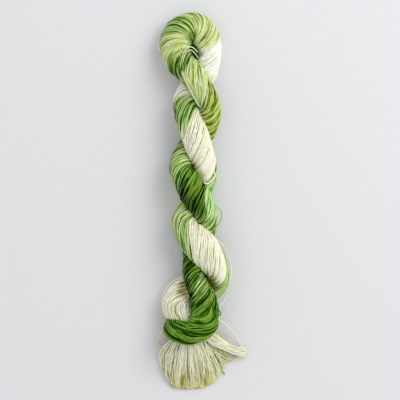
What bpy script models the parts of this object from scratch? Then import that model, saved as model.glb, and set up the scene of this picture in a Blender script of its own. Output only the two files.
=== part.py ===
"""A hank of variegated embroidery floss, twisted, folded and closed through itself, lying on a table.

The tables are in millimetres: x to the right, y along the hank towards its round head, z up from the
table. Two objects are made: the hank's wound body, and the fan of loops that opens below its neck.
"""

from collections import namedtuple

import bpy
import numpy as np

MM = 0.001

# Main sizes.
AXIS_HEIGHT = 5.9  # the rope's axis above the table
CENTRE_X, CENTRE_Y = 0.45, -0.35  # middle of the hank in the tables' own x and y
GAP = 0.3  # between the body and the looped end
THREAD_GROUP = 0.93  # depth of the grooves between groups of threads, as a share of the ply's radius
RUN_GROOVE = 0.84  # the deeper groove between a ply's two runs
SIDES = 22  # points round a ply: every other one is a groove
STEP = 1.95  # length of a step along a ply, and a little shorter where it turns fast
TURN_LENGTH = 0.05  # a degree of turn counts as this much length
BEND_LIMIT = 0.86  # the inside of a bend stops short of the bend's centre

# The ply's path: from the band round the neck, up ply a, round the head, down ply b to the neck.
# z is from the rope's axis. half_width is across the path, half_height is up. turn is in degrees.
Ply = namedtuple("Ply", "name x y z half_width half_height turn")
BODY_PATH = [Ply(*row) for row in (
    ("band_tip",     -10.9,  -39.2,   0.0,  1.0,  1.2,   1100),
    ("band_turn",     -9.3,  -39.4,   1.7,  3.0,  2.6,   1060),
    ("band_front",    -4.8,  -39.8,   3.3,  3.8,  2.1,   1000),
    ("band_bend",      0.1,  -36.8,   3.0,  4.2,  2.4,    920),
    ("a_front_5",      0.4,  -29.5,   3.0,  4.2,  3.0,    840),
    ("a_left_4",      -2.2,  -22.3,   1.2,  3.9,  3.9,    750),
    ("a_back_4",      -1.1,  -14.2,  -3.0,  4.2,  3.0,    640),
    ("a_right_3",      1.3,   -5.8,   0.3,  3.3,  3.9,    545),
    ("a_front_3",     -1.9,    1.6,   3.0,  4.5,  3.0,    455),
    ("a_left_2",      -6.1,   10.0,   0.3,  3.6,  3.9,    370),
    ("a_back_2",      -1.3,   18.1,  -3.0,  4.2,  3.0,    280),
    ("a_right_1",      2.5,   26.2,   0.3,  3.3,  3.9,    190),
    ("a_front_1",     -0.8,   34.6,   3.0,  3.6,  3.0,     90),
    ("lobe_left",     -7.3,   43.0,  -0.9,  4.5,  3.6,   -170),
    ("lobe_upper",    -6.5,   49.6,  -2.1,  5.1,  4.2,   -360),
    ("lobe_top",      -1.6,   51.1,  -2.1,  5.1,  4.2,   -490),
    ("lobe_right",     1.9,   46.4,  -2.1,  4.2,  3.9,   -680),
    ("b_back_1",       1.1,   36.4,  -2.4,  3.6,  3.3,   -880),
    ("b_left_1",      -4.3,   27.8,  -0.6,  3.9,  3.9,  -1005),
    ("b_front_2",     -1.3,   17.2,   3.0,  4.2,  3.0,  -1100),
    ("b_right_2",      1.1,    8.8,   0.3,  3.3,  3.9,  -1200),
    ("b_back_3",      -1.3,    1.3,  -3.0,  4.2,  3.0,  -1310),
    ("b_left_3",      -5.0,   -6.8,   0.3,  3.9,  3.9,  -1425),
    ("b_front_4",      0.4,  -14.8,   3.0,  5.1,  3.0,  -1510),
    ("b_right_4",      4.6,  -22.3,   0.3,  3.3,  3.6,  -1600),
    ("b_back_5",       0.4,  -28.1,  -3.0,  4.2,  3.0,  -1660),
    ("b_puff",        -7.3,  -30.1,  -1.5,  4.5,  3.9,  -1730),
    ("b_neck",        -3.8,  -37.2,  -0.3,  4.2,  2.7,  -1800),
    ("b_root",        -3.3,  -42.0,  -0.3,  5.1,  2.2,  -1830),
)]
SPLIT_AT = "lobe_left"  # the body is swept in two lengths that meet here

# The band's way back from its tip, under the neck.
BAND_UNDER = [Ply(*row) for row in (
    ("under_tip",    -11.0,  -39.2,  -0.2,  0.9,  1.1,      0),
    ("under_turn",    -9.3,  -39.4,  -1.7,  3.0,  2.6,     40),
    ("band_under",    -4.6,  -39.4,  -3.3,  3.6,  2.4,    100),
    ("band_return",    0.1,  -34.9,  -3.0,  3.9,  2.7,    180),
    ("band_join",      0.1,  -29.5,   0.0,  2.8,  2.8,    240),
)]

# Where the two plies bear on each other, down the middle of the rope.
ROPE_CORE = [Ply(*row) for row in (
    ("core_top",      -0.6,   37.0,  -0.2,  1.3,  1.3,      0),
    ("core_1",        -0.9,   26.2,   0.0,  1.3,  1.3,      0),
    ("core_2",        -2.5,   10.3,   0.0,  1.3,  1.3,      0),
    ("core_3",        -1.9,   -6.1,   0.0,  1.3,  1.3,      0),
    ("core_4",         1.1,  -21.8,   0.0,  1.3,  1.3,      0),
    ("core_foot",      0.2,  -31.0,   0.0,  1.3,  1.3,      0),
)]
HEAD_FOLD = (-2.6, 44.9, -2.4)  # middle of the closed crease in the round head
HEAD_FOLD_SIZE = (2.6, 3.8, 1.5)

# The looped end: its backing in the neck, and its layers of locks.
BACKING = (-3.0, -43.8, -0.3)
BACKING_SIZE = (7.2, 1.1, 1.6)
FAN_REACH = (9.5, 12.9)  # sideways, and down the hank
FAN_ROOT_WIDTH = 6.3
FAN_SQUARE = 0.75  # under 1 makes the fan's outline squarer than an oval
LOCK_HALF_WIDTH, LOCK_HALF_THICK = 0.46, 0.33
LEG_SHARES = (0.0, 0.14, 0.34, 0.60, 0.86, 0.955)  # where a lock's leg has its rings
LEG_ROOT_OPEN, LEG_TIP_OPEN = 0.34, 0.78  # half the distance between a lock's two legs
TIP_CLOSING = 0.77  # the legs draw together by this much just before the tip
ROOT_WIDTH = 0.55  # a lock's width in the backing, as a share of its full width
Layer = namedtuple("Layer", "name locks spread root_z hump tip_z reach")
FAN_LAYERS = [Layer(*row) for row in (
    # spread is the outermost lock's angle; z is from the table; hump lifts the middle of the lock
    ("table",   9,  74,  4.8,  -1.2,  0.33,  1.00),
    ("lower",   9,  70,  5.4,   0.2,  1.50,  0.97),
    ("upper",   8,  66,  6.0,   0.6,  2.70,  0.93),
    ("top",     7,  60,  6.6,   0.7,  3.90,  0.85),
)]
Pulled = namedtuple("Pulled", "name root_x tip_x tip_y root_z hump tip_z")
PULLED_LOCKS = [Pulled(*row) for row in (
    ("pulled_low",   3.2,  12.6,  -46.1,  5.2,  0.3,  0.33),
    ("pulled_mid",   3.0,  13.4,  -45.3,  6.0,  0.7,  1.30),
    ("pulled_top",   2.6,  12.9,  -44.3,  6.6,  1.0,  2.20),
)]


def spline(rows, per_span=24):
    """Catmull-Rom curve through the rows, ends included."""
    p = np.asarray(rows, float)
    p = np.vstack([2 * p[0] - p[1], p, 2 * p[-1] - p[-2]])
    t = np.linspace(0, 1, per_span, endpoint=False)[:, None]
    spans = [
        0.5 * (2 * b + (c - a) * t + (2 * a - 5 * b + 4 * c - d) * t**2 + (3 * b - a - 3 * c + d) * t**3)
        for a, b, c, d in zip(p, p[1:], p[2:], p[3:])
    ]
    return np.vstack(spans + [p[-2:-1]])


def evenly(curve, step):
    """The curve's rows again, at even steps of its length and turn (its sixth column)."""
    moved = np.diff(np.column_stack([curve[:, :3], TURN_LENGTH * curve[:, 5]]), axis=0)
    run = np.concatenate([[0], np.cumsum(np.linalg.norm(moved, axis=1))])
    at = np.linspace(0, run[-1], max(2, round(run[-1] / step)) + 1)
    return np.column_stack([np.interp(at, run, column) for column in curve.T])


def unit(v):
    return v / np.linalg.norm(v, axis=-1, keepdims=True)


def frames(path):
    """Along, across and up for each point of the path."""
    along = unit(np.gradient(path, axis=0))
    across = unit(np.cross(along, (0.0, 0.0, 1.0)))
    return along, across, np.cross(across, along)


def bend(path, across):
    """How sharply the path bends towards across, as one over the bend's radius."""
    step = np.linalg.norm(np.gradient(path, axis=0), axis=1, keepdims=True)
    along = np.gradient(path, axis=0) / step
    sharpness = (np.gradient(along, axis=0) / step * across).sum(axis=1)
    padded = np.pad(sharpness, 2, mode="edge")
    return np.convolve(padded, np.ones(5) / 5, "valid")[:, None]


def ply_rings(rows, sides, step, ridges=True):
    """Rings of points along a ply. Each point keeps to one group of threads, so the rings turn."""
    curve = evenly(spline([row[1:] for row in rows]), step)
    path = curve[:, :3] + (0, 0, AXIS_HEIGHT)
    _, across, up = frames(path)
    round_ply = np.linspace(0, 2 * np.pi, sides, endpoint=False)
    radius = np.ones(sides)
    if ridges:
        radius[1::2] = THREAD_GROUP
        radius[np.argsort(np.abs(np.cos(round_ply)))[:2]] = RUN_GROOVE
    angle = round_ply + np.radians(curve[:, 5:6])
    out = radius * np.cos(angle) * curve[:, 3:4]
    rise = radius * np.sin(angle) * curve[:, 4:5]
    sharp = bend(path, across)
    room = BEND_LIMIT / np.maximum(np.abs(sharp), 1e-6)
    out = np.where(sharp > 0, np.minimum(out, room), np.maximum(out, -room))
    return path[:, None] + out[..., None] * across[:, None] + rise[..., None] * up[:, None]


def tube_object(name, rings):
    """A closed tube through the rings, as a mesh object."""
    rings = np.asarray(rings)
    count, sides = rings.shape[:2]
    index = np.arange(count * sides).reshape(count, sides)
    a, b = index[:-1], np.roll(index, -1, axis=1)[:-1]
    c, d = np.roll(index, -1, axis=1)[1:], index[1:]
    faces = [tuple(map(int, face)) for face in np.stack([a, b, c, d], axis=-1).reshape(-1, 4)]
    faces += [tuple(map(int, index[0][::-1])), tuple(map(int, index[-1]))]
    return mesh_object(name, rings.reshape(-1, 3), faces)


def mesh_object(name, points, faces):
    mesh = bpy.data.meshes.new(name)
    mesh.from_pydata((np.asarray(points) - (CENTRE_X, CENTRE_Y, 0)) * MM, [], faces)
    mesh.validate()
    mesh.update()
    if signed_volume(mesh) < 0:
        mesh.flip_normals()
    obj = bpy.data.objects.new(name, mesh)
    bpy.context.scene.collection.objects.link(obj)
    return obj


def signed_volume(mesh):
    mesh.calc_loop_triangles()
    points = np.array([v.co for v in mesh.vertices])
    corners = points[np.array([t.vertices for t in mesh.loop_triangles])]
    return np.linalg.det(corners).sum() / 6


def ellipsoid(name, centre, size, around=16, rings=9):
    """A closed ellipsoid with its poles at its x ends."""
    tilt = np.linspace(0, np.pi, rings + 2)[1:-1, None]
    turn = np.linspace(0, 2 * np.pi, around, endpoint=False)[None]
    shape = np.stack(
        [np.cos(tilt) + 0 * turn, np.sin(tilt) * np.cos(turn), np.sin(tilt) * np.sin(turn)], axis=-1
    )
    return tube_object(name, shape * size + np.add(centre, (0, 0, AXIS_HEIGHT)))


def combine(target, others, operation="UNION"):
    """Adds the others to the target, or cuts them away, and removes them."""
    for other in others:
        modifier = target.modifiers.new(operation.title(), "BOOLEAN")
        modifier.operation = operation
        modifier.solver = "MANIFOLD"
        modifier.object = other
        mesh = bpy.data.meshes.new_from_object(target.evaluated_get(bpy.context.evaluated_depsgraph_get()))
        target.modifiers.remove(modifier)
        target.data = mesh
        bpy.data.objects.remove(other)
    return target


def keep_outer_skin(obj):
    """Drops the sealed hollows that the plies close off between them."""
    mesh = obj.data
    owner = np.arange(len(mesh.vertices))
    edges = np.array([e.vertices for e in mesh.edges])
    while True:
        lowest = np.minimum(owner[edges[:, 0]], owner[edges[:, 1]])
        joined = owner.copy()
        np.minimum.at(joined, edges[:, 0], lowest)
        np.minimum.at(joined, edges[:, 1], lowest)
        joined = joined[joined]
        if (joined == owner).all():
            break
        owner = joined
    names, sizes = np.unique(owner, return_counts=True)
    kept = owner == names[sizes.argmax()]
    number = np.cumsum(kept) - 1
    points = np.array([v.co for v in mesh.vertices])[kept]
    faces = [[int(number[v]) for v in p.vertices] for p in mesh.polygons if kept[p.vertices[0]]]
    outer = bpy.data.meshes.new(obj.name)
    outer.from_pydata(points, [], faces)
    outer.update()
    obj.data = outer


def floor_block():
    """Everything under the table's surface."""
    low, high = (-30, -80, -20), (30, 80, 0)
    corners = [(x, y, z) for x in (low[0], high[0]) for y in (low[1], high[1]) for z in (low[2], high[2])]
    faces = [(0, 1, 3, 2), (4, 6, 7, 5), (0, 4, 5, 1), (2, 3, 7, 6), (0, 2, 6, 4), (1, 5, 7, 3)]
    return mesh_object("floor_block", corners, faces)


def wound_body():
    """Both plies, the head, the band and the neck as one solid."""
    split = [row.name for row in BODY_PATH].index(SPLIT_AT)
    rings = ply_rings(BODY_PATH, SIDES, STEP)
    path_at = evenly(spline([(*row[1:], i) for i, row in enumerate(BODY_PATH)]), STEP)[:, -1]
    cut = int(np.searchsorted(path_at, split))
    middle = rings[:, :].mean(axis=1, keepdims=True)
    second = rings[cut - 1:].copy()
    for ring, shrink in ((0, 0.9), (1, 0.98)):
        second[ring] = middle[cut - 1 + ring] + shrink * (second[ring] - middle[cut - 1 + ring])
    body = tube_object("hank", rings[: cut + 1])
    others = [
        tube_object("ply_b", second),
        tube_object("band_under", ply_rings(BAND_UNDER, 16, STEP)),
        tube_object("rope_core", ply_rings(ROPE_CORE, 6, 8.0, ridges=False)),
        ellipsoid("head_fold", HEAD_FOLD, HEAD_FOLD_SIZE, 10, 5),
    ]
    combine(body, others)
    combine(body, [floor_block()], "DIFFERENCE")
    keep_outer_skin(body)
    return body


def lock_rings(root_x, tip, root_z, hump, tip_z):
    """Rings of a flat, four-sided lock of threads: out from the backing, round its tip and back."""
    root, tip = np.array((root_x, BACKING[1])), np.array(tip, float)
    heading = unit(tip - root)
    side = np.array([-heading[1], heading[0]])
    middle = root + 0.5 * np.linalg.norm(tip - root) * unit(heading + (0.0, -1.0))
    path, width = [], []
    for leg, order in ((-1, LEG_SHARES), (1, LEG_SHARES[::-1])):
        for share in order:
            bent = (1 - share) ** 2 * root + 2 * share * (1 - share) * middle + share**2 * tip
            opened = LEG_ROOT_OPEN + (LEG_TIP_OPEN - LEG_ROOT_OPEN) * share
            opened *= TIP_CLOSING if share == LEG_SHARES[-1] else 1
            done = min(1, share / LEG_SHARES[-2])
            z = root_z + (tip_z - root_z) * done**0.8 + hump * np.sin(np.pi * done)
            path.append((*(bent + side * leg * opened), z))
            width.append(LOCK_HALF_WIDTH * (ROOT_WIDTH + (1 - ROOT_WIDTH) * min(1, share / 0.6)))
        if leg < 0:
            path.append((*tip, tip_z))
            width.append(LOCK_HALF_WIDTH)
    path = np.array(path)
    across = frames(path)[1]
    corners = np.array([(1, 1), (-1, 1), (-1, -1), (1, -1)], float)
    rings = path[:, None] + corners[:, :1] * np.array(width)[:, None, None] * across[:, None]
    rings[..., 2] = np.maximum(rings[..., 2] + corners[:, 1] * LOCK_HALF_THICK, 0)
    return rings


def looped_end():
    """The fan of loops below the neck, fused into its backing."""
    backing = ellipsoid("looped_end", BACKING, BACKING_SIZE)
    locks = []
    for layer in FAN_LAYERS:
        for share in np.linspace(-1, 1, layer.locks):
            angle = np.radians(layer.spread * share)
            sideways = np.sign(share) * abs(np.sin(angle)) ** FAN_SQUARE
            tip = (
                BACKING[0] + layer.reach * FAN_REACH[0] * sideways,
                BACKING[1] - layer.reach * FAN_REACH[1] * np.cos(angle) ** FAN_SQUARE,
            )
            root_x = BACKING[0] + FAN_ROOT_WIDTH * share
            locks.append(lock_rings(root_x, tip, layer.root_z, layer.hump, layer.tip_z))
    for row in PULLED_LOCKS:
        locks.append(lock_rings(row.root_x, (row.tip_x, row.tip_y), row.root_z, row.hump, row.tip_z))
    combine(backing, [tube_object(f"lock_{i}", rings) for i, rings in enumerate(locks)])
    keep_outer_skin(backing)
    return backing


def give_material(obj, name, colour, roughness):
    material = bpy.data.materials.new(name)
    material.use_nodes = True
    shader = material.node_tree.nodes["Principled BSDF"]
    shader.inputs["Base Color"].default_value = (*colour, 1)
    shader.inputs["Roughness"].default_value = roughness
    obj.data.materials.clear()
    obj.data.materials.append(material)


def main():
    for obj in list(bpy.data.objects):
        bpy.data.objects.remove(obj)
    give_material(wound_body(), "green_floss", (0.27, 0.46, 0.12), 0.55)
    give_material(looped_end(), "cream_floss", (0.80, 0.78, 0.55), 0.55)


main()
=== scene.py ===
# %% [markdown]
# # A hank of variegated embroidery floss
# The hank is one long cotton thread wound into a loop, twisted hard, folded in two and closed by
# passing one end of the loop round the neck of the other. This file lays real threads along the
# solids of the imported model, dyes them and lights them.

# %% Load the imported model
from collections import namedtuple

import bpy
import numpy as np
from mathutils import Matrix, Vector


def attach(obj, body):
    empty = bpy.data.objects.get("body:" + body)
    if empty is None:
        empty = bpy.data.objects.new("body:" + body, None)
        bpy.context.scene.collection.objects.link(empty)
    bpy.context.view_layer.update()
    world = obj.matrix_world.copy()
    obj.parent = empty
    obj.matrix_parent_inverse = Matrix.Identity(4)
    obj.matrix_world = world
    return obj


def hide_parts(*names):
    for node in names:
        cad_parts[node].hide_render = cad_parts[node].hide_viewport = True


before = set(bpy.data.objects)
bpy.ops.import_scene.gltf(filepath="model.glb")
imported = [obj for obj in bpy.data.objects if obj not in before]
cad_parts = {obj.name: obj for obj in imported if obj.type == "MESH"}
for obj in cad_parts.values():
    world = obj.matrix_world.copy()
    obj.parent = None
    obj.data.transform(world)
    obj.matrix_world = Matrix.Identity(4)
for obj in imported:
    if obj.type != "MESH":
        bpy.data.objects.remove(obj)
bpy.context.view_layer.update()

# %% [markdown]
# Everything is worked out in millimetres: x to the right, y along the hank towards its round
# head, z up from the rope's axis. One function takes those numbers to the model's metres.

# %% Sizes
MM = 0.001
AXIS_HEIGHT = 5.9  # the rope's axis above the table
CENTRE = np.array((0.45, -0.35, -AXIS_HEIGHT))  # where the model's origin is in these numbers
THREAD = 0.36  # thickness of the thread
SEED = 20  # the random draws are the same on every run


def to_metres(points):
    return (np.asarray(points, float) - CENTRE) * MM


# %% [markdown]
# ## The path of the loop
# Each row is a place where a ply crosses the front or the back of the rope, or turns at its side.
# half_width is across the path, half_height is up, and turn says how far the ply's own threads
# have twisted there.

# %% The ply's path
Ply = namedtuple("Ply", "name x y z half_width half_height turn")
ROPE = [Ply(*row) for row in (
    ("a_front_5",   0.3, -29.3,  3.0, 3.9, 3.0,  1560),
    ("a_left_4",   -2.4, -22.3,  1.2, 3.1, 3.7,  1345),
    ("a_back_4",   -1.1, -14.2, -3.0, 4.2, 3.0,  1110),
    ("a_right_3",   1.3,  -5.8,  0.3, 3.3, 3.9,   925),
    ("a_front_3",  -1.9,   1.6,  3.0, 4.5, 3.0,   846),
    ("a_left_2",   -6.1,  10.0,  0.3, 3.6, 3.9,   650),
    ("a_back_2",   -1.3,  18.1, -3.0, 4.2, 3.0,   470),
    ("a_right_1",   2.5,  26.2,  0.3, 3.3, 3.9,   290),
    ("a_front_1",  -0.8,  34.6,  3.0, 3.6, 3.0,   110),
    ("lobe_left",  -7.3,  43.0, -0.9, 4.5, 3.6,  -160),
    ("lobe_upper", -6.5,  49.6, -2.1, 5.1, 4.2,  -360),
    ("lobe_top",   -1.6,  51.1, -2.1, 5.1, 4.2,  -490),
    ("lobe_right",  1.9,  46.4, -2.1, 4.2, 3.9,  -680),
    ("b_back_1",    1.2,  38.4, -2.6, 3.7, 3.4,  -840),
    ("b_edge_1",   -3.5,  32.6, -2.0, 3.7, 3.6,  -895),
    ("b_left_1",   -4.6,  27.8, -0.3, 3.9, 3.9, -1000),
    ("b_front_2",  -1.3,  17.2,  3.0, 4.2, 3.0, -1175),
    ("b_right_2",   1.1,   8.8,  0.3, 3.5, 3.9, -1394),
    ("b_back_3",   -1.3,   1.3, -3.0, 4.2, 3.0, -1500),
    ("b_left_3",   -5.0,  -6.8,  0.3, 3.9, 3.9, -1580),
    ("b_front_4",   0.4, -14.8,  3.0, 5.1, 3.0, -1676),
    ("b_right_4",   4.6, -22.3,  0.3, 3.3, 3.6, -1742),
    ("b_back_5",    1.0, -25.6, -3.0, 4.0, 3.0, -1830),
    ("b_puff_top", -4.4, -27.0, -1.9, 3.9, 3.7, -1905),
    ("b_puff",     -7.2, -31.6, -1.4, 4.8, 3.9, -1960),
    ("b_neck",     -4.6, -37.0, -0.5, 4.2, 2.7, -1990),
    ("b_root",     -3.2, -41.6, -0.6, 5.0, 1.5, -2020),
)]
FULL_TURNS = 9 * 360  # between a run's angle on its way out and on its way back

# The band round the neck, from ply a over the front to its tip, and back underneath.
# alone is 1 where a run of the loop lies by itself, and 0 where two runs share the ply.
Band = namedtuple("Band", "name x y z half_width half_height angle alone")
BAND = [Band(*row) for row in (
    ("band_bend",    0.8, -36.2,  2.7, 4.7, 3.0, -1485, 0.95),
    ("band_front",  -3.5, -39.7,  3.3, 3.8, 2.2, -1545,  1.0),
    ("band_turn",   -7.9, -39.1,  2.6, 3.4, 2.0, -1570,  1.0),
    ("band_tip",    -9.4, -37.9, -0.2, 3.1, 1.9, -1590,  1.0),
    ("under_turn",  -8.2, -38.6, -2.8, 3.2, 1.9, -1602,  1.0),
    ("band_under",  -4.2, -39.2, -3.6, 3.6, 2.1, -1620,  1.0),
    ("band_return",  0.8, -35.6, -3.0, 4.2, 2.6, -1650, 0.95),
)]
TIP = len(ROPE) + [row.name for row in BAND].index("band_tip")
ROW = {row.name: i for i, row in enumerate(ROPE)}

# %% [markdown]
# A smooth curve runs through the rows. Blender's curves could do that, but each thread is worked
# out from this one, so it is made as plain numbers and cut into even steps. Twist and bends count
# as length, so that tight stretches get more points.

# %% Smooth curves through the rows
def spline(rows, per_span=40):
    """Catmull-Rom curve through the rows, ends included."""
    p = np.asarray(rows, float)
    p = np.vstack([2 * p[0] - p[1], p, 2 * p[-1] - p[-2]])
    t = np.linspace(0, 1, per_span, endpoint=False)[:, None]
    spans = [
        0.5 * (2 * b + (c - a) * t + (2 * a - 5 * b + 4 * c - d) * t**2
               + (3 * b - a - 3 * c + d) * t**3)
        for a, b, c, d in zip(p, p[1:], p[2:], p[3:])
    ]
    return np.vstack(spans + [p[-2:-1]])


def unit(v):
    return v / np.maximum(np.linalg.norm(v, axis=-1, keepdims=True), 1e-12)


def length_along(points):
    """The length of the line up to each of its points."""
    return np.concatenate([[0], np.cumsum(np.linalg.norm(np.diff(points, axis=0), axis=1))])


def evenly(curve, step, turn_length=0.0, bend_length=0.0):
    """The curve's rows at even steps. Its turn, the sixth column, and its bends may add length."""
    moved = np.diff(curve[:, :3], axis=0)
    if turn_length:
        heading = unit(moved)
        swing = np.linalg.norm(np.diff(heading, axis=0, prepend=heading[:1]), axis=1)
        moved = np.column_stack([moved, turn_length * np.diff(curve[:, 5]), bend_length * swing])
    run = np.concatenate([[0], np.cumsum(np.linalg.norm(moved, axis=1))])
    at = np.linspace(0, run[-1], max(2, round(run[-1] / step)) + 1)
    return np.column_stack([np.interp(at, run, column) for column in curve.T])


# %% [markdown]
# A run is one pass of the loop. It goes from the neck up ply b, round the head, down ply a, round
# the band, and back the same way beside itself, so both halves of each ply are the same threads.
# On the way back the angles are counted from the other side.

# %% The whole path of the loop
STEP = 1.3  # between one point of a thread and the next
DEGREE_LENGTH, BEND_LENGTH = 0.07, 9.0  # what a degree of turn and a sharp bend count as
NECK_ALONE = 0.25  # at the neck the two runs begin to part

neck = [NECK_ALONE] + [0] * (len(ROPE) - 1)
way_out = [(*row[1:6], 180 - row.turn, alone) for row, alone in zip(ROPE, neck)][::-1]
way_round = [row[1:] for row in BAND]
way_back = [(*row[1:6], row.turn - FULL_TURNS, alone) for row, alone in zip(ROPE, neck)]
stations = np.array([(*row, i) for i, row in enumerate(way_out + way_round + way_back)], float)
loop = evenly(spline(stations), STEP, DEGREE_LENGTH, BEND_LENGTH)
path, half_width, half_height = loop[:, :3], loop[:, 3], loop[:, 4]
angle, alone, station = np.radians(loop[:, 5]), np.clip(loop[:, 6], 0, 1), loop[:, 7]
travel = length_along(path)
print(f"the loop's path is {travel[-1]:.0f} mm long, in {len(loop)} steps")

# %% Which way the section lies
# Across is level, and it changes sides where the run turns back. At that tip the run goes nearly
# straight down, where level says nothing, so a fixed direction helps.
along = unit(np.gradient(path, axis=0))
side = np.where(station < TIP, 1.0, -1.0)[:, None]
near_tip = np.exp(-((station - TIP) ** 2))[:, None]
across = unit(side * np.cross(along, (0, 0, 1.0)) + 0.6 * near_tip * (0.35, 0.94, 0))
across = unit(across - along * (across * along).sum(1, keepdims=True))
up = np.cross(across, along)

# %% How sharply the path bends
# Threads crowd inside a bend, and room is how far in they may go, short of its centre.
speed = np.linalg.norm(np.gradient(path, axis=0), axis=1, keepdims=True)
span = 9  # the steps that the bend is averaged over
padded = np.pad((np.gradient(along, axis=0) / speed * across).sum(1), span // 2, mode="edge")
bend = np.convolve(padded, np.ones(span) / span, "valid")
room = 0.93 / np.maximum(np.abs(bend), 1e-6)
print(f"the sharpest bend has a radius of {1 / np.abs(bend).max():.1f} mm")

# %% [markdown]
# ## The threads
# In a ply each run fills half of the section, like a half moon with soft corners. Alone, in the
# band, it fills the whole. Threads lie in layers round that outline. Only the outer layers are
# made, because the inner ones never show. Each wanders a little, and neighbours rise and sink
# together, which is what gives a real hank its soft grooves.

# %% The outline of one run
def half_moon(count=720):
    """Even points round a half disc with soft corners, from the middle of its arc."""
    arc = np.radians(np.linspace(0, 84, 200))
    upper = np.column_stack([np.cos(arc), np.sin(arc)])
    chord = np.column_stack([np.full(120, 0.05), np.linspace(0.97, 0, 120)])
    half = np.vstack([upper, chord])
    outline = np.vstack([half, (half * (1, -1))[::-1][:-1]])
    run = length_along(outline)
    at = np.linspace(0, run[-1], count, endpoint=False)
    outline = np.column_stack([np.interp(at, run, c) for c in outline.T])
    width = 31  # the points that a corner is softened over
    around = np.vstack([outline[-(width // 2):], outline, outline[: width // 2]])
    return np.column_stack([np.convolve(c, np.ones(width) / width, "valid") for c in around.T])


MOON = half_moon()
MOON_CENTRE = np.array((0.42, 0.0))


def between(share, count):
    """Which two of count knots this share of a full round lies between, and how far along."""
    place = np.mod(share, 1) * count
    low = np.floor(place).astype(int) % count
    return low, (low + 1) % count, place - np.floor(place)


def moon_at(share):
    low, high, part = between(share, len(MOON))
    return MOON[low] * (1 - part[..., None]) + MOON[high] * part[..., None]


# %% Slow random waves
def waves(rng, count, at, length, harmonics=5):
    """A smooth random wave for each of count threads, between about -1 and 1, as at runs on."""
    total = np.zeros((count, len(at)))
    for _ in range(harmonics):
        pace = 2 * np.pi / length * rng.uniform(0.5, 1.6, (count, 1))
        total += np.sin(pace * at[None] + rng.uniform(0, 2 * np.pi, (count, 1)))
    return total / np.sqrt(harmonics)


def shared_waves(rng, places, at, length, reach, count=26):
    """Waves that neighbours share. places is each thread's place round the run, 0 to 1."""
    knots = waves(rng, count, at, length)
    low, high, part = between(places, count)
    columns = np.broadcast_to(np.arange(len(at)), places.shape)
    return reach * (knots[low, columns] * (1 - part) + knots[high, columns] * part)


# %% [markdown]
# ## The dye
# Floss like this is dipped in blocks, so the colour runs along the thread and both neighbours
# change at about the same place. Painting the finished shape could not do that. So a table gives
# the colours along the path, and each thread takes its own from there.

# %% Dye names and colours, some also used for painted shade
def to_linear(hex_colour):
    """An sRGB hex colour as linear red, green and blue."""
    srgb = np.array([int(hex_colour[i:i + 2], 16) for i in (1, 3, 5)]) / 255
    return np.where(srgb <= 0.04045, srgb / 12.92, ((srgb + 0.055) / 1.055) ** 2.4)


DYE_AND_SHADE_COLOURS = {
    "white": "#f8f6ec", "cream": "#f3f1da", "straw": "#dedca2",
    "olive": "#9c9a40", "dark_olive": "#666d16", "lime": "#a9bb4e",
    "spring": "#c9d68c", "pale_green": "#d3e0a0", "mint": "#b4da86",
    "light_green": "#aac86f", "leaf": "#87ad50", "grass": "#548119",
    "fern": "#587a14", "moss": "#406b0f", "dark_moss": "#1f4003",
}
# Where the colour changes along the rope: how many rows past the row named, then the dye of the run
# that goes over the band's front, and of the run that goes under it.
ROPE_DYES = {
    "a_front_5": "0 grass grass, 0.5 leaf moss",
    "a_left_4": "0 moss moss, 0.4 moss grass",
    "a_back_4": "0 grass leaf",
    "a_right_3": "-0.45 grass grass, -0.1 leaf light_green, 0.15 leaf light_green, 0.4 moss mint",
    "a_front_3": "0 fern mint, 0.45 grass leaf",
    "a_left_2": "0 grass light_green, 0.5 leaf light_green, 0.7 olive spring",
    "a_back_2": "0 olive lime, 0.4 lime lime",
    "a_right_1": "0.1 lime lime, 0.4 light_green lime, 0.6 pale_green lime",
    "a_front_1": "0 pale_green lime, 0.25 pale_green light_green, 0.42 spring moss, "
                 "0.66 spring moss, 0.82 pale_green light_green",
    "lobe_left": "0 pale_green spring, 0.5 spring leaf",
    "lobe_upper": "0 pale_green light_green, 0.6 pale_green light_green",
    "lobe_top": "0 pale_green spring, 0.6 spring spring",
    "lobe_right": "0 spring white, 0.25 white white",
    "b_edge_1": "0.55 cream white, 0.85 leaf cream",
    "b_left_1": "0.2 leaf cream, 0.6 light_green cream, 0.85 cream cream",
    "b_front_2": "0.5 cream cream, 0.7 cream light_green",
    "b_right_2": "0 cream mint, 0.5 straw mint",
    "b_back_3": "0 straw light_green",
    "b_left_3": "-0.3 cream pale_green, 0 cream light_green",
    "b_front_4": "0 cream light_green",
    "b_right_4": "-0.3 cream mint, 0.3 cream mint",
    "b_back_5": "0 olive straw",
    "b_puff_top": "0 cream cream",
    "b_puff": "0 white cream",
    "b_root": "0 cream straw",
}
BAND_DYES = [  # each with its place, counted in rows of the band
    ("grass", 0.0), ("grass", 2.6), ("fern", 3.4), ("grass", 5.0), ("moss", 6.0),
]


def dye_of(names):
    return np.array([to_linear(DYE_AND_SHADE_COLOURS[name]) for name in names])


# %% The colour at any place on the loop
beyond, over, under = zip(*[change.split() for changes in ROPE_DYES.values()
                            for change in changes.split(", ")])
named = [ROW[row] for row, changes in ROPE_DYES.items() for _ in changes.split(", ")]
rope_place = np.array(named) + np.array(beyond, float)
# The way out takes the rope's rows backwards, and the way back takes them forwards.
dye_place = np.concatenate([
    (len(ROPE) - 1 - rope_place)[::-1],
    [len(ROPE) + at for _, at in BAND_DYES],
    len(ROPE) + len(BAND) + rope_place,
])
dye_colour = dye_of([*over[::-1], *(name for name, _ in BAND_DYES), *under])
print(len(DYE_AND_SHADE_COLOURS), "dyes, which change at", len(dye_place), "places")


def colour_at(place):
    """The table's colours at these places, blended from one row to the next."""
    return np.stack([np.interp(place, dye_place, c) for c in dye_colour.T], axis=-1)


def greenness(colour):
    """0 for white and cream, 1 for the greens."""
    return np.clip(((colour[..., 1] - colour[..., 2]) / colour[..., 1] - 0.45) / 0.2, 0, 1)
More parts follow.
